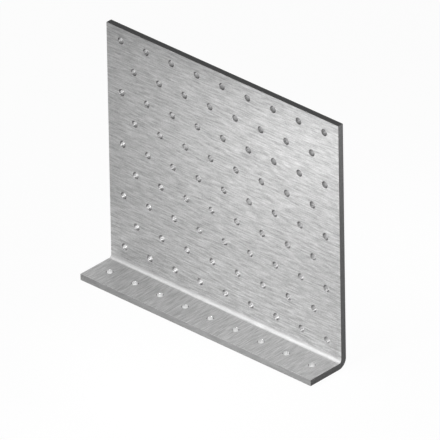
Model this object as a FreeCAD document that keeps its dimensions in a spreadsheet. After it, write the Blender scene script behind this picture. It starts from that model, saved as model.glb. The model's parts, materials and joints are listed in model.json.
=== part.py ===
import FreeCAD, Part
import math
import os
import Sketcher

# Beam splice connector: one steel sheet, punched in a staggered grid of nail holes
# and folded once into an angle with a tall wall and a short flange.
# X runs along the beams, Z is up, and the flange points to -Y.
# The origin lies under the middle of the angle, on the plane of the flange's underside.

NODE = "splice_angle"

# Driving dimensions in millimetres. The bend radius is that of the inside of the fold.
# The edge distance is that of the top row of holes, and the least that any column keeps.
SIZES = {
    "plate_width": 180.0,
    "wall_height": 160.0,
    "flange_depth": 30.0,
    "sheet_thickness": 4.0,
    "bend_radius": 2.0,
    "hole_diameter": 4.3,
    "hole_pitch": 19.75,
    "edge_distance": 8.4,
}

# The holes stand on a grid of equal triangles: each row is shifted by half a pitch.
# The lowest row stays at least one hole diameter clear of the fold.
ROW_PITCH = "Sizes.hole_pitch * sqrt(3) / 2"
FOLD_TOP = "(Sizes.sheet_thickness + Sizes.bend_radius)"
COLUMNS = "(floor((Sizes.plate_width - 2 * Sizes.edge_distance) / Sizes.hole_pitch) + 1)"
ROW_SPAN = f"(Sizes.wall_height - Sizes.edge_distance - {FOLD_TOP} - Sizes.hole_diameter)"
ROWS = f"(floor({ROW_SPAN} / ({ROW_PITCH})) + 1)"


def make_sheet(doc):
    """Put each driving dimension in a cell of its own, under its own name."""
    sheet = doc.addObject("Spreadsheet::Sheet", "Sizes")
    for row, (name, value) in enumerate(SIZES.items(), start=1):
        sheet.set(f"A{row}", name)
        sheet.set(f"B{row}", str(value))
        sheet.setAlias(f"B{row}", name)
    doc.recompute()
    return sheet


def add_sketch(body, name, role):
    """Start a sketch on one of the body's own origin planes."""
    sketch = body.newObject("Sketcher::SketchObject", name)
    plane = next(item for item in body.Origin.OriginFeatures if item.Role == role)
    sketch.AttachmentSupport = [(plane, "")]
    sketch.MapMode = "FlatFace"
    return sketch


def add_size(sketch, kind, elements, value, name, expression):
    """Add a named dimension to a sketch and bind it to the sheet."""
    index = sketch.addConstraint(Sketcher.Constraint(kind, *elements, value))
    sketch.renameConstraint(index, name)
    sketch.setExpression(f"Constraints.{name}", expression)


def fold_profile(body):
    """Draw the section of the angle: two legs joined by a fold of even thickness."""
    height = SIZES["wall_height"]
    back = SIZES["flange_depth"] / 2
    thick = SIZES["sheet_thickness"]
    inner = SIZES["bend_radius"]
    outer = inner + thick
    turn = back - outer
    up = FreeCAD.Vector(0, 0, 1)
    centre = FreeCAD.Vector(turn, outer, 0)

    def line(start, end):
        return Part.LineSegment(FreeCAD.Vector(*start, 0), FreeCAD.Vector(*end, 0))

    def fold(radius):
        return Part.ArcOfCircle(Part.Circle(centre, up, radius), -math.pi / 2, 0)

    sketch = add_sketch(body, "FoldProfile", "YZ_Plane")
    underside = sketch.addGeometry(line((-back, 0), (turn, 0)))
    outer_fold = sketch.addGeometry(fold(outer))
    back_face = sketch.addGeometry(line((back, outer), (back, height)))
    top_edge = sketch.addGeometry(line((back, height), (back - thick, height)))
    beam_face = sketch.addGeometry(line((back - thick, height), (back - thick, outer)))
    inner_fold = sketch.addGeometry(fold(inner))
    seat_face = sketch.addGeometry(line((turn, thick), (-back, thick)))
    front_edge = sketch.addGeometry(line((-back, thick), (-back, 0)))

    first, last, middle = 1, 2, 3
    origin = (-1, 1)
    x_axis = -1
    sketch.addConstraint([
        Sketcher.Constraint("Tangent", underside, last, outer_fold, first),
        Sketcher.Constraint("Tangent", outer_fold, last, back_face, first),
        Sketcher.Constraint("Coincident", back_face, last, top_edge, first),
        Sketcher.Constraint("Coincident", top_edge, last, beam_face, first),
        Sketcher.Constraint("Tangent", beam_face, last, inner_fold, last),
        Sketcher.Constraint("Tangent", inner_fold, first, seat_face, first),
        Sketcher.Constraint("Coincident", seat_face, last, front_edge, first),
        Sketcher.Constraint("Coincident", front_edge, last, underside, first),
        Sketcher.Constraint("Coincident", outer_fold, middle, inner_fold, middle),
        Sketcher.Constraint("Horizontal", underside),
        Sketcher.Constraint("Horizontal", top_edge),
        Sketcher.Constraint("Horizontal", seat_face),
        Sketcher.Constraint("Vertical", back_face),
        Sketcher.Constraint("Vertical", beam_face),
        Sketcher.Constraint("Vertical", front_edge),
        Sketcher.Constraint("PointOnObject", underside, first, x_axis),
    ])
    add_size(sketch, "DistanceX", (underside, first, *origin), back,
             "front_reach", "Sizes.flange_depth / 2")
    add_size(sketch, "DistanceX", (*origin, back_face, last), back,
             "back_reach", "Sizes.flange_depth / 2")
    add_size(sketch, "DistanceY", (*origin, back_face, last), height,
             "height", "Sizes.wall_height")
    add_size(sketch, "DistanceY", (front_edge, last, front_edge, first), thick,
             "thickness", "Sizes.sheet_thickness")
    add_size(sketch, "Radius", (inner_fold,), inner,
             "inside_radius", "Sizes.bend_radius")
    return sketch


def fold_sheet(body):
    """Extrude the folded section evenly to both sides of the middle plane."""
    sheet = body.newObject("PartDesign::Pad", "FoldedSheet")
    sheet.Profile = fold_profile(body)
    sheet.Midplane = True
    sheet.setExpression("Length", "Sizes.plate_width")
    return sheet


def punch(body, name, role, reversed_cut, column_count, first_place):
    """Punch the first hole of a set: the left one of its first row."""
    sketch = add_sketch(body, f"{name}Centre", role)
    left = SIZES["plate_width"] / 2 - SIZES["edge_distance"]
    side, side_expression = first_place
    radius = SIZES["hole_diameter"] / 2
    centre = FreeCAD.Vector(-left, side, 0)
    hole = sketch.addGeometry(Part.Circle(centre, FreeCAD.Vector(0, 0, 1), radius))
    origin = (-1, 1)
    middle = (hole, 3)
    across = (*origin, *middle) if side > 0 else (*middle, *origin)
    add_size(sketch, "Diameter", (hole,), 2 * radius, "bore", "Sizes.hole_diameter")
    add_size(sketch, "DistanceX", (*middle, *origin), left,
             "left_reach", f"({column_count} - 1) * Sizes.hole_pitch / 2")
    add_size(sketch, "DistanceY", across, abs(side), "side_reach", side_expression)
    cut = body.newObject("PartDesign::Pocket", f"{name}First")
    cut.Profile = sketch
    cut.Type = "ThroughAll"
    cut.Reversed = reversed_cut
    return sketch, cut


def repeat(body, name, sketch, cut, column_count, row_count=None):
    """Repeat a punched hole along its row, and every second row downwards."""
    grid = body.newObject("PartDesign::LinearPattern", f"{name}Holes")
    grid.Originals = [cut]
    grid.Direction = (sketch, ["H_Axis"])
    grid.Mode = "Extent"
    grid.setExpression("Length", f"({column_count} - 1) * Sizes.hole_pitch")
    grid.setExpression("Occurrences", column_count)
    if row_count:
        grid.Direction2 = (sketch, ["V_Axis"])
        grid.Reversed2 = True
        grid.Mode2 = "Extent"
        grid.setExpression("Length2", f"({row_count} - 1) * 2 * {ROW_PITCH}")
        grid.setExpression("Occurrences2", row_count)
    body.Tip = grid
    return grid


def punch_wall_row_set(body, name, rows_down, column_count, row_count):
    """Punch one of the wall's two interleaved sets of rows, counted from the top row."""
    drop = SIZES["edge_distance"] + rows_down * SIZES["hole_pitch"] * math.sqrt(3) / 2
    drop_expression = f"Sizes.edge_distance + {rows_down} * {ROW_PITCH}"
    place = (SIZES["wall_height"] - drop, f"Sizes.wall_height - ({drop_expression})")
    sketch, cut = punch(body, name, "XZ_Plane", False, column_count, place)
    return repeat(body, name, sketch, cut, column_count, row_count)


def punch_flange_row(body, name):
    """Punch the flange's row midway between the wall's beam face and the front edge."""
    place = (-SIZES["sheet_thickness"] / 2, "Sizes.sheet_thickness / 2")
    sketch, cut = punch(body, name, "XY_Plane", True, COLUMNS, place)
    return repeat(body, name, sketch, cut, COLUMNS)


def check(doc, body, blank, hole_sets):
    """Stop if a feature failed, the solid is bad or a set of holes isn't punched through."""
    for item in doc.Objects:
        if "Invalid" in item.State or "Error" in item.State:
            raise RuntimeError(f"{item.Name} failed: {item.State}")
    shape = body.Shape
    if shape.isNull() or not shape.isValid() or len(shape.Solids) != 1:
        raise RuntimeError(f"{body.Label} is not one sound solid")
    bore = math.pi / 4 * SIZES["hole_diameter"] ** 2 * SIZES["sheet_thickness"]
    volume = blank.Shape.Volume
    for holes in hole_sets:
        count = holes.Occurrences * holes.Occurrences2
        removed = volume - holes.Shape.Volume
        if abs(removed - count * bore) > bore / 100:
            raise RuntimeError(f"{holes.Name} removed {removed:.1f} for {count} holes of {bore:.1f}")
        print(f"{holes.Name}: {count} holes")
        volume = holes.Shape.Volume


def build():
    doc = FreeCAD.newDocument("BeamSplice")
    make_sheet(doc)
    angle = doc.addObject("PartDesign::Body", "SpliceAngle")
    angle.Label = NODE
    angle.Placement = FreeCAD.Placement()
    blank = fold_sheet(angle)
    full_rows = punch_wall_row_set(angle, "FullRow", 0, COLUMNS, f"ceil({ROWS} / 2)")
    shifted_rows = punch_wall_row_set(angle, "ShiftedRow", 1, f"({COLUMNS} - 1)", f"floor({ROWS} / 2)")
    flange_row = punch_flange_row(angle, "FlangeRow")
    doc.recompute()
    check(doc, angle, blank, [full_rows, shifted_rows, flange_row])
    os.makedirs("parts", exist_ok=True)
    angle.Shape.exportStep(f"parts/{angle.Label}.step")
    box = angle.Shape.BoundBox
    print(f"{angle.Label}: {box.XLength:.2f} x {box.YLength:.2f} x {box.ZLength:.2f} mm,"
          f" {angle.Shape.Volume:.0f} mm3")


build()
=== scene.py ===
import json
import math

import bpy
from mathutils import Matrix, Vector


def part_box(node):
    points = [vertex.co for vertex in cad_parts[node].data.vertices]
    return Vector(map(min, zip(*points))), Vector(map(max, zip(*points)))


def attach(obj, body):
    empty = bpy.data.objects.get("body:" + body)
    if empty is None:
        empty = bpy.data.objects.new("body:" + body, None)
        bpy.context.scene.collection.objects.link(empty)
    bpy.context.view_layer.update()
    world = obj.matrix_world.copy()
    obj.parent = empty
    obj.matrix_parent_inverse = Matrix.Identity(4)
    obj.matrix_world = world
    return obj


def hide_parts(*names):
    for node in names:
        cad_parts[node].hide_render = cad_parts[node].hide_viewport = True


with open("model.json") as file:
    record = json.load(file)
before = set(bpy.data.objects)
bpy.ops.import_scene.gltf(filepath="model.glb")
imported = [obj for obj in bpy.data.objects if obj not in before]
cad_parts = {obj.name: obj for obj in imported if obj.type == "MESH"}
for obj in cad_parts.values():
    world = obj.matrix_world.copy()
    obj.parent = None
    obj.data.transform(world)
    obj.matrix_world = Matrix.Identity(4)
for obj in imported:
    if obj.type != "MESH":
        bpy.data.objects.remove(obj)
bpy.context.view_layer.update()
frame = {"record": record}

# Sizes of the angle, in metres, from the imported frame.
NODE = "splice_angle"
MM = 0.001
# The holes stand on a grid of equal triangles.
ROW_RATIO = math.sqrt(3) / 2
low_corner, high_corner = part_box(NODE)
mounts = {mount["name"]: mount for mount in frame["record"]["mounts"]}
flange_pair = mounts["flange_nails_1"]["dims"]
outer_rows = mounts["wall_nails_outer_rows_1"]

PLATE_WIDTH = high_corner.x - low_corner.x
FLANGE_DEPTH = high_corner.y - low_corner.y
WALL_HEIGHT = high_corner.z
SHEET_THICKNESS = mounts["beam_seat_face"]["pos_m"][2]
BEND_RADIUS = 2 * MM
HOLE_DIAMETER = 2 * flange_pair["hole_r_mm"] * MM
HOLE_PITCH = flange_pair["spacing_x_mm"] * MM / 2
ROW_PITCH = HOLE_PITCH * ROW_RATIO
ROW_MIDDLE = outer_rows["pos_m"][2]
ROW_COUNT = round(outer_rows["dims"]["spacing_y_mm"] * MM / ROW_PITCH) + 1
EDGE_DISTANCE = WALL_HEIGHT - ROW_MIDDLE - (ROW_COUNT - 1) * ROW_PITCH / 2
COLUMN_COUNT = math.floor((PLATE_WIDTH - 2 * EDGE_DISTANCE) / HOLE_PITCH) + 1
FLANGE_ROW = mounts["flange_nails_1"]["pos_m"][1]
BEAM_FACE = high_corner.y - SHEET_THICKNESS
FOLD_FRONT = BEAM_FACE - BEND_RADIUS
FOLD_TOP = SHEET_THICKNESS + BEND_RADIUS

# Fineness of the mesh.
SIDE_STEPS = 8
RIM_STEPS = 4 * SIDE_STEPS
RINGS = 3
RING_CROWDING = 2.2
FOLD_STEPS = 12
WELD = 0.01 * MM
EDGE_BREAK = 0.14 * MM
EDGE_BREAK_STEPS = 2
EDGE_BREAK_ANGLE = math.radians(40)


class Wire:
    """A node's output that takes part in Python arithmetic: each operator adds a Math node."""

    def __init__(self, board, socket):
        self.board = board
        self.socket = socket

    def __add__(self, other):
        return self.board.math("ADD", self, other)

    def __radd__(self, other):
        return self.board.math("ADD", other, self)

    def __sub__(self, other):
        return self.board.math("SUBTRACT", self, other)

    def __rsub__(self, other):
        return self.board.math("SUBTRACT", other, self)

    def __mul__(self, other):
        return self.board.math("MULTIPLY", self, other)

    def __rmul__(self, other):
        return self.board.math("MULTIPLY", other, self)

    def __truediv__(self, other):
        return self.board.math("DIVIDE", self, other)

    def __rtruediv__(self, other):
        return self.board.math("DIVIDE", other, self)

    def __pow__(self, other):
        return self.board.math("POWER", self, other)

    def __mod__(self, other):
        return self.board.math("MODULO", self, other)

    def __neg__(self):
        return self.board.math("MULTIPLY", self, -1.0)

    def __abs__(self):
        return self.board.math("ABSOLUTE", self)

    def __lt__(self, other):
        return self.board.math("LESS_THAN", self, other)

    def __gt__(self, other):
        return self.board.math("GREATER_THAN", self, other)

    def within(self, low, high):
        """Hold the value between two limits."""
        return self.board.math("MINIMUM", self.board.math("MAXIMUM", self, low), high)


class Board:
    """A node tree in which every node comes from one method."""

    def __init__(self, tree):
        self.tree = tree

    def node(self, kind, settings=None, sockets=None):
        """Add a node, set it up, then fill its sockets with values or links."""
        made = self.tree.nodes.new(kind)
        for name, value in (settings or {}).items():
            setattr(made, name, value)
        for name, value in (sockets or {}).items():
            self.fill(made.inputs[name], value)
        return made

    def fill(self, socket, value):
        """Link one wire or several to a socket, or set its value."""
        if isinstance(value, (list, tuple)) and value and isinstance(value[0], Wire):
            for one in value:
                self.tree.links.new(one.socket, socket)
        elif isinstance(value, Wire):
            self.tree.links.new(value.socket, socket)
        else:
            socket.default_value = value

    def wire(self, kind, settings=None, sockets=None, output=0):
        """Add a node and return one of its outputs."""
        return Wire(self, self.node(kind, settings, sockets).outputs[output])

    def math(self, operation, *values):
        return self.wire("ShaderNodeMath", {"operation": operation}, dict(enumerate(values)))

    def split(self, vector):
        """The three parts of a vector."""
        made = self.node("ShaderNodeSeparateXYZ", sockets={0: vector})
        return [Wire(self, socket) for socket in made.outputs]

    def vector(self, x, y, z):
        return self.wire("ShaderNodeCombineXYZ", sockets={0: x, 1: y, 2: z})


# The sheet as a mesh: punched flat, then folded.
# On the flat blank x runs along the fold, y from the flange's front edge to the wall's top edge,
# and z through the sheet from its outer side to its beam side.

def square_outline(turn):
    """Run along the sides of a square of half side 1; a full turn is 4."""
    return (2 * (abs(turn - 2) - 1)).within(-1, 1)


def punched_cell(board, half_width, reach_up, reach_down, radius):
    """One hole in its own patch of flat sheet: rings of quads from the rim to a square outline."""
    patch = board.wire("GeometryNodeMeshGrid", sockets={
        "Size X": 1.0, "Size Y": 1.0, "Vertices X": RIM_STEPS + 1, "Vertices Y": RINGS + 1})
    across, out, _ = board.split(board.wire("GeometryNodeInputPosition"))
    around = across + 0.5
    spread = (out + 0.5) ** RING_CROWDING
    angle = around * math.tau
    side = square_outline(around * 4)
    level = square_outline((around * 4 + 3) % 4)
    reach = reach_down + (level < 0) * (reach_up - reach_down)
    x = radius * board.math("COSINE", angle) * (1 - spread) + half_width * side * spread
    y = radius * board.math("SINE", angle) * (1 - spread) + reach * level * spread
    return board.wire("GeometryNodeSetPosition", sockets={
        "Geometry": patch, "Position": board.vector(x, -y, 0.0)})


def plain_patch(board, size_x, size_y, steps_x, steps_y):
    """A patch of flat sheet with no hole."""
    return board.wire("GeometryNodeMeshGrid", sockets={
        "Size X": size_x, "Size Y": size_y, "Vertices X": steps_x + 1, "Vertices Y": steps_y + 1})


def moved(board, geometry, y):
    return board.wire("GeometryNodeTransform", sockets={
        "Geometry": geometry, "Translation": board.vector(0.0, y, 0.0)})


def laid_out(board, patch, columns, rows, spread_x, spread_y, middle_y):
    """Lay copies of a patch on a grid of places."""
    places = board.wire("GeometryNodeMeshGrid", sockets={
        "Size X": spread_x, "Size Y": spread_y, "Vertices X": columns, "Vertices Y": rows})
    return board.wire("GeometryNodeInstanceOnPoints", sockets={
        "Points": moved(board, places, middle_y), "Instance": patch})


def sheet_tree(finishes):
    """The rule that makes the sheet: punch, draw out to the edges, thicken and fold."""
    tree = bpy.data.node_groups.new("punched_and_folded_sheet", "GeometryNodeTree")
    board = Board(tree)
    names = ("Plate Width", "Wall Height", "Flange Depth", "Sheet Thickness", "Bend Radius",
             "Hole Diameter", "Hole Pitch", "Row Middle", "Flange Row", "Columns", "Rows")
    for name in names:
        tree.interface.new_socket(name=name, in_out="INPUT", socket_type="NodeSocketFloat")
    tree.interface.new_socket(name="Sheet", in_out="OUTPUT", socket_type="NodeSocketGeometry")
    given = board.node("NodeGroupInput")
    (width, height, depth, thickness, bend, hole, pitch, row_middle, flange_row, columns,
     rows) = [Wire(board, given.outputs[name]) for name in names]

    # Lengths along the flat blank.
    radius = hole / 2
    row_pitch = pitch * ROW_RATIO
    outer_bend = bend + thickness
    fold_start = depth - outer_bend
    fold_length = (bend + thickness / 2) * (math.pi / 2)
    wall_start = fold_start + fold_length
    blank_end = wall_start + height - outer_bend
    rows_at = wall_start + row_middle - outer_bend
    flange_at = depth / 2 + flange_row
    full_rows = board.math("CEIL", rows / 2)
    shifted_rows = board.math("FLOOR", rows / 2)

    # The wall's two interleaved sets of rows, with a half patch at each end of the shifted ones.
    wall_cell = punched_cell(board, pitch / 2, row_pitch / 2, row_pitch / 2, radius)
    half_patch = plain_patch(board, pitch / 2, row_pitch, SIDE_STEPS // 2, SIDE_STEPS)
    full_set = laid_out(board, wall_cell, columns, full_rows, (columns - 1) * pitch,
                        (full_rows - 1) * row_pitch * 2, rows_at)
    shifted_spread = (shifted_rows - 1) * row_pitch * 2
    shifted_set = laid_out(board, wall_cell, columns - 1, shifted_rows, (columns - 2) * pitch,
                           shifted_spread, rows_at)
    end_set = laid_out(board, half_patch, 2, shifted_rows, (columns - 0.5) * pitch,
                       shifted_spread, rows_at)

    # The flange's row, and the plain strip that becomes the fold.
    flange_cell = punched_cell(board, pitch / 2, fold_start - flange_at, flange_at, radius)
    flange_places = board.wire("GeometryNodeMeshLine", sockets={
        "Count": columns,
        "Start Location": board.vector((1 - columns) * pitch / 2, flange_at, 0.0),
        "Offset": board.vector(pitch, 0.0, 0.0)})
    flange_set = board.wire("GeometryNodeInstanceOnPoints", sockets={
        "Points": flange_places, "Instance": flange_cell})
    strip = plain_patch(board, columns * pitch, fold_length, columns * SIDE_STEPS, FOLD_STEPS)
    fold_strip = moved(board, strip, fold_start + fold_length / 2)
    patches = board.wire("GeometryNodeJoinGeometry", sockets={
        "Geometry": [full_set, shifted_set, end_set, flange_set, fold_strip]})
    flat = board.wire("GeometryNodeRealizeInstances", sockets={"Geometry": patches})

    # The outermost vertices are drawn out to the sheet's own edges, and the patches welded.
    x, y, z = board.split(board.wire("GeometryNodeInputPosition"))
    grid_half = columns * pitch / 2
    grid_top = rows_at + rows * row_pitch / 2
    grid_low = rows_at - rows * row_pitch / 2
    at_end = abs(x) > grid_half - WELD
    at_top = y > grid_top - WELD
    at_low = abs(y - grid_low) < WELD
    edge_x = x + at_end * board.math("SIGN", x) * (width / 2 - grid_half)
    edge_y = y + at_top * (blank_end - grid_top) + at_low * (wall_start - grid_low)
    drawn = board.wire("GeometryNodeSetPosition", sockets={
        "Geometry": flat, "Position": board.vector(edge_x, edge_y, z)})
    blank = board.wire("GeometryNodeMergeByDistance", sockets={"Geometry": drawn, "Distance": WELD})

    # Thickness: the beam side is raised from the blank, and the blank turned over is the outer side.
    raised = board.node("GeometryNodeExtrudeMesh", sockets={
        "Mesh": blank, "Offset": board.vector(0.0, 0.0, 1.0), "Offset Scale": thickness,
        "Individual": False})
    beam_side = Wire(board, raised.outputs["Mesh"])
    cut = Wire(board, raised.outputs["Side"])
    outer_side = board.wire("GeometryNodeFlipFaces", sockets={"Mesh": blank})
    both = board.wire("GeometryNodeJoinGeometry", sockets={"Geometry": [beam_side, outer_side]})
    slab = board.wire("GeometryNodeMergeByDistance", sockets={"Geometry": both, "Distance": WELD})

    # The fold: what lies past its start turns up about the fold's axis.
    turn = ((y - fold_start) / fold_length).within(0, 1) * (math.pi / 2)
    swing = outer_bend - z
    before = (y - fold_start).within(-1, 0)
    after = (y - wall_start).within(0, 1)
    folded_y = depth / 2 - outer_bend + swing * board.math("SINE", turn) + before
    folded_z = outer_bend - swing * board.math("COSINE", turn) + after
    folded = board.wire("GeometryNodeSetPosition", sockets={
        "Geometry": slab, "Position": board.vector(x, folded_y, folded_z)})
    smooth = board.wire("GeometryNodeSetShadeSmooth", sockets={0: folded})

    # The cut faces get their own finishes: hole walls, then the ends, the top and the front edge.
    whole = board.wire("GeometryNodeRealizeInstances", sockets={"Geometry": smooth})
    places = {"drawn_face": True,
              "punched_wall": cut > 0.5,
              "burnished_wall": cut * (z < thickness + WELD),
              "sheared_end": cut * (abs(x) > width / 2 - WELD),
              "mill_edge": cut * (z > height - WELD),
              "slit_edge": cut * (y < WELD - depth / 2)}
    for name, place in places.items():
        whole = board.wire("GeometryNodeSetMaterial", sockets={
            "Geometry": whole, "Selection": place, "Material": finishes[name]})
    board.node("NodeGroupOutput", sockets={"Sheet": whole})
    return tree


def make_angle(finishes):
    """The whole connector as one plain mesh."""
    tree = sheet_tree(finishes)
    sizes = {"Plate Width": PLATE_WIDTH, "Wall Height": WALL_HEIGHT, "Flange Depth": FLANGE_DEPTH,
             "Sheet Thickness": SHEET_THICKNESS, "Bend Radius": BEND_RADIUS,
             "Hole Diameter": HOLE_DIAMETER, "Hole Pitch": HOLE_PITCH, "Row Middle": ROW_MIDDLE,
             "Flange Row": FLANGE_ROW, "Columns": float(COLUMN_COUNT), "Rows": float(ROW_COUNT)}
    angle = bpy.data.objects.new("folded_splice_angle", bpy.data.meshes.new("folded_splice_angle"))
    bpy.context.scene.collection.objects.link(angle)
    rule = angle.modifiers.new("punch_and_fold", "NODES")
    rule.node_group = tree
    for socket in tree.interface.items_tree:
        if socket.in_out == "INPUT":
            rule[socket.identifier] = sizes[socket.name]
    edges = angle.modifiers.new("edge_break", "BEVEL")
    edges.width = EDGE_BREAK
    edges.segments = EDGE_BREAK_STEPS
    edges.limit_method = "ANGLE"
    edges.angle_limit = EDGE_BREAK_ANGLE
    edges.harden_normals = True
    evaluated = angle.evaluated_get(bpy.context.evaluated_depsgraph_get())
    mesh = bpy.data.meshes.new_from_object(evaluated)
    # The grid nodes bring an empty first slot, which no face uses.
    mesh.materials.pop(index=0)
    angle.modifiers.clear()
    angle.data = mesh
    return angle


# Finishes.

FACE_GREY = 0.43
FACE_METAL = 0.35
FACE_ROUGHNESS = 0.45
# The inside of the fold is painted lighter: a painted highlight.
FOLD_HIGHLIGHT_GREY = 0.61
FOLD_ROUGHNESS = 0.55
FOLD_FADE = 0.2 * MM

# The wall has painted light just above the fold, and painted shade along its top.
PAINTED_FOOT_LIGHT_SHARE = 0.33
PAINTED_FOOT_LIGHT_REACH = 40 * MM
PAINTED_TOP_SHADE_SHARE = 0.14
PAINTED_TOP_SHADE_REACH = 16 * MM

# Drawn lines and grain of the faces, as noise steps for each metre, and how strongly they show.
LINES_ALONG = 130
LINES_ACROSS = 1250
LINES_DEPTH = 300
LINES_DETAIL = 2.0
LINES_CONTRAST = 1.3
LINES_ROUGHNESS = 0.25
LINES_BUMP_STRENGTH = 0.2
LINES_BUMP_HEIGHT = 0.04 * MM
GRAIN = 1500
GRAIN_DETAIL = 1.0
GRAIN_CONTRAST = 0.5
FOLD_CALM = 0.6
NOISE_MIDDLE = 0.5

# Cut edges: greys at the angle's foot and at its top, and noise steps for each metre along x, y and z.
# The ends' rise from foot to top is painted light, and the wall holes' fall is painted shade.
# A glance under 1 darkens the metal where it is seen along its surface.
CUT_DETAIL = 3.0
CUT_CONTRAST = 0.6
CUT_ROUGHNESS = 0.2
CUT_EDGES = {
    # The ends' grey rising from foot to top is painted light.
    "sheared_end": {"greys": (0.145, 0.255), "metal": 0.3, "roughness": 0.55,
                    "steps": (700, 700, 700), "glance": 1.0},
    # The top edge's very dark grey is painted shade.
    "mill_edge": {"greys": (0.1, 0.1), "metal": 0.2, "roughness": 0.55,
                  "steps": (200, 900, 900), "glance": 1.0},
    "slit_edge": {"greys": (0.33, 0.33), "metal": 0.5, "roughness": 0.5,
                  "steps": (150, 900, 900), "glance": 1.0},
    # The hole walls' grey falling from foot to top is painted shade.
    "punched_wall": {"greys": (0.41, 0.27), "metal": 1.0, "roughness": 0.38,
                     "steps": (900, 300, 900), "glance": 0.3},
    # The flange's hole walls are a lighter copy of the punched walls: painted light.
    "burnished_wall": {"greys": (0.82, 0.82), "metal": 1.0, "roughness": 0.22,
                       "steps": (900, 900, 300), "glance": 0.0}}


def new_material(name):
    material = bpy.data.materials.new(name)
    material.use_nodes = True
    material.node_tree.nodes.clear()
    return material, Board(material.node_tree)


def finish_material(board, sockets):
    """Close a material with one surface shader."""
    shader = board.wire("ShaderNodeBsdfPrincipled", sockets=sockets)
    board.node("ShaderNodeOutputMaterial", sockets={"Surface": shader})


def noise(board, vector, detail):
    return board.wire("ShaderNodeTexNoise", sockets={
        "Vector": vector, "Scale": 1.0, "Detail": detail})


def blend(low, high, share):
    return low + (high - low) * share


def grey_colour(board, level):
    return board.wire("ShaderNodeCombineColor", sockets={0: level, 1: level, 2: level})


def fold_share(y, z):
    """1 on the inside of the fold, fading out just past it on the wall and on the flange."""
    beam_side = (y < BEAM_FACE + SHEET_THICKNESS / 2) * (z > SHEET_THICKNESS / 2)
    past_wall = ((z - FOLD_TOP) / FOLD_FADE).within(0, 1)
    past_flange = ((FOLD_FRONT - y) / FOLD_FADE).within(0, 1)
    return beam_side * (1 - past_wall) * (1 - past_flange)


def drawn_face():
    """Rolled sheet with fine drawn lines: along the wall, and across the flange."""
    material, board = new_material("drawn_face")
    x, y, z = board.split(board.wire("ShaderNodeTexCoord", output="Object"))
    flange = y < FOLD_FRONT
    along = blend(x, y, flange)
    across = blend(z, x, flange)
    depth = blend(y, z, flange)
    lines_at = board.vector(along * LINES_ALONG, across * LINES_ACROSS, depth * LINES_DEPTH)
    lines = noise(board, lines_at, LINES_DETAIL)
    grain = noise(board, board.vector(x * GRAIN, y * GRAIN, z * GRAIN), GRAIN_DETAIL)
    line_swing = lines - NOISE_MIDDLE
    grain_swing = grain - NOISE_MIDDLE
    fold = fold_share(y, z)
    contrast = 1 - FOLD_CALM * fold
    streaks = 1 + (line_swing * LINES_CONTRAST + grain_swing * GRAIN_CONTRAST) * contrast
    # Painted light: the wall is made lighter just above the fold.
    painted_foot_light = 1 + PAINTED_FOOT_LIGHT_SHARE * (1 - flange) * (1 - (z - FOLD_TOP) / PAINTED_FOOT_LIGHT_REACH).within(0, 1)
    # Painted shade: the wall is made darker along its top.
    painted_top_shade = 1 - PAINTED_TOP_SHADE_SHARE * ((z - WALL_HEIGHT) / PAINTED_TOP_SHADE_REACH + 1).within(0, 1)
    # The fold's lighter grey is a painted highlight.
    base = blend(FACE_GREY * painted_foot_light * painted_top_shade, FOLD_HIGHLIGHT_GREY, fold)
    bump = board.wire("ShaderNodeBump", sockets={
        "Strength": LINES_BUMP_STRENGTH, "Distance": LINES_BUMP_HEIGHT, "Height": lines})
    finish_material(board, {
        "Base Color": grey_colour(board, base * streaks),
        "Metallic": FACE_METAL,
        "Roughness": blend(FACE_ROUGHNESS, FOLD_ROUGHNESS, fold) + line_swing * LINES_ROUGHNESS,
        "Normal": bump})
    return material


def cut_edge(name, greys, metal, roughness, steps, glance):
    """A cut edge of the sheet, with a fine grain and a tone that changes from foot to top: painted
    light on the ends, painted shade in the wall's holes.
    """
    material, board = new_material(name)
    x, y, z = board.split(board.wire("ShaderNodeTexCoord", output="Object"))
    step_x, step_y, step_z = steps
    grain = noise(board, board.vector(x * step_x, y * step_y, z * step_z), CUT_DETAIL)
    grain_swing = grain - NOISE_MIDDLE
    foot_grey, top_grey = greys
    # The change from foot to top is painted light on the ends and painted shade in the wall's holes.
    grey = blend(foot_grey, top_grey, (z / WALL_HEIGHT).within(0, 1))
    finish_material(board, {
        "Base Color": grey_colour(board, grey * (1 + grain_swing * CUT_CONTRAST)),
        "Metallic": metal,
        "Roughness": roughness + grain_swing * CUT_ROUGHNESS,
        "Specular IOR Level": 0.0,
        "Specular Tint": (glance, glance, glance, 1.0)})
    return material


# Studio.

VIEW_AZIMUTH = math.radians(43.3206)
VIEW_ELEVATION = math.radians(30.4456)
VIEW_ROLL = math.radians(-0.9877)
IMAGE_SIDE = 440
FOCAL_PIXELS = 18000.0
PIXELS_PER_METRE = 1750.0
SENSOR = 36.0
AIM_RIGHT = 2.1362 * MM
AIM_DOWN = -14.2267 * MM
FLOOR_REACH = 3.0
FLOOR_DROP = 0.2 * MM
FLOOR_GREY = 0.8
FLOOR_WHITE = 0.96
FILL_LEVEL = 0.06
WHITE = (1.0, 1.0, 1.0, 1.0)

# Lamps: place, the point that each one faces and its width, in metres, and its power in watts.
ANGLE_MIDDLE = (0.0, 0.0, WALL_HEIGHT / 2)
LAMPS = {
    "near_lamp": ((0.054, -0.188, 0.155), (0.18, 0.011, -0.08), 0.06, 0.26),
    "near_fill": ((0.06, -0.12, 0.16), (0.0, 0.011, 0.08), 0.06, 0.058),
    "low_fill": ((0.0, -0.12, 0.09), (0.02, 0.011, 0.08), 0.06, 0.068),
    "top_softbox": ((-0.45, -0.23, 1.1), ANGLE_MIDDLE, 0.5, 3.9),
    "back_lamp_high": ((0.04, 0.2, 0.18), ANGLE_MIDDLE, 0.1, 0.18),
    "back_lamp_low": ((0.16, 0.2, 0.06), ANGLE_MIDDLE, 0.1, 0.09),
    "right_lamp": ((0.3, 0.14, 0.33), ANGLE_MIDDLE, 0.15, 0.22)}


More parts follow.
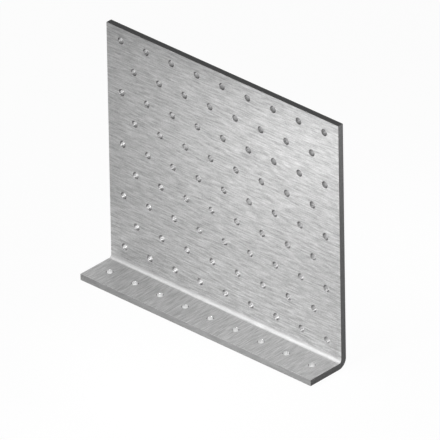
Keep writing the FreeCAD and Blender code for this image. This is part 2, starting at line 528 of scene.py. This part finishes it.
def set_camera():
    """A long lens from the upper right front."""
    sin_a, cos_a = math.sin(VIEW_AZIMUTH), math.cos(VIEW_AZIMUTH)
    sin_e, cos_e = math.sin(VIEW_ELEVATION), math.cos(VIEW_ELEVATION)
    back = Vector((sin_a * cos_e, -cos_a * cos_e, sin_e))
    level = Vector((cos_a, sin_a, 0))
    rise = back.cross(level)
    right = math.cos(VIEW_ROLL) * level + math.sin(VIEW_ROLL) * rise
    up = math.cos(VIEW_ROLL) * rise - math.sin(VIEW_ROLL) * level
    aim = Vector((0, BEAM_FACE, WALL_HEIGHT / 2))
    place = aim - right * AIM_RIGHT + up * AIM_DOWN + back * (FOCAL_PIXELS / PIXELS_PER_METRE)
    lens = bpy.data.cameras.new("long_lens")
    lens.sensor_width = SENSOR
    lens.lens = FOCAL_PIXELS / IMAGE_SIDE * SENSOR
    camera = bpy.data.objects.new("long_lens", lens)
    camera.matrix_world = Matrix((right, up, back)).transposed().to_4x4()
    camera.matrix_world.translation = place
    bpy.context.scene.collection.objects.link(camera)
    bpy.context.scene.camera = camera


def area_lamp(name, place, target, width, power):
    """A round soft lamp that the camera doesn't see."""
    data = bpy.data.lights.new(name, "AREA")
    data.shape = "DISK"
    data.size = width
    data.energy = power
    lamp = bpy.data.objects.new(name, data)
    lamp.location = place
    lamp.rotation_euler = (Vector(target) - Vector(place)).to_track_quat("-Z", "Y").to_euler()
    bpy.context.scene.collection.objects.link(lamp)
    lamp.visible_camera = False


def seen_rays(board):
    """1 for the rays that show the background, straight, mirrored or through glass."""
    rays = board.node("ShaderNodeLightPath")
    names = ("Is Camera Ray", "Is Glossy Ray", "Is Transmission Ray")
    straight, mirrored, through = [Wire(board, rays.outputs[name]) for name in names]
    return (straight + mirrored + through).within(0, 1)


def set_floor():
    """Pale studio floor that keeps the shadow."""
    mesh = bpy.data.meshes.new("studio_floor")
    corners = [(x * FLOOR_REACH, y * FLOOR_REACH, -FLOOR_DROP)
               for x, y in ((-1, -1), (1, -1), (1, 1), (-1, 1))]
    mesh.from_pydata(corners, [], [(0, 1, 2, 3)])
    floor = bpy.data.objects.new("studio_floor", mesh)
    bpy.context.scene.collection.objects.link(floor)
    material, board = new_material("studio_floor")
    paint = board.wire("ShaderNodeBsdfDiffuse", sockets={
        "Color": (FLOOR_GREY, FLOOR_GREY, FLOOR_GREY, 1.0)})
    glow = board.wire("ShaderNodeEmission", sockets={"Color": WHITE, "Strength": 1.0})
    mixed = board.wire("ShaderNodeMixShader", sockets={
        0: seen_rays(board) * FLOOR_WHITE, 1: paint, 2: glow})
    board.node("ShaderNodeOutputMaterial", sockets={"Surface": mixed})
    mesh.materials.append(material)


def set_world():
    """White backdrop for what is seen and mirrored, and a softer level for fill light."""
    world = bpy.data.worlds.new("studio")
    world.use_nodes = True
    world.node_tree.nodes.clear()
    board = Board(world.node_tree)
    strength = FILL_LEVEL + seen_rays(board) * (1 - FILL_LEVEL)
    sky = board.wire("ShaderNodeBackground", sockets={"Color": WHITE, "Strength": strength})
    board.node("ShaderNodeOutputWorld", sockets={"Surface": sky})
    bpy.context.scene.world = world


def main():
    bpy.context.scene.view_settings.view_transform = "Standard"
    finishes = {"drawn_face": drawn_face()}
    for name, look in CUT_EDGES.items():
        finishes[name] = cut_edge(name, **look)
    angle = make_angle(finishes)
    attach(angle, "root")
    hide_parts(NODE)
    set_floor()
    set_world()
    for name, (place, target, width, power) in LAMPS.items():
        area_lamp(name, place, target, width, power)
    set_camera()


main()
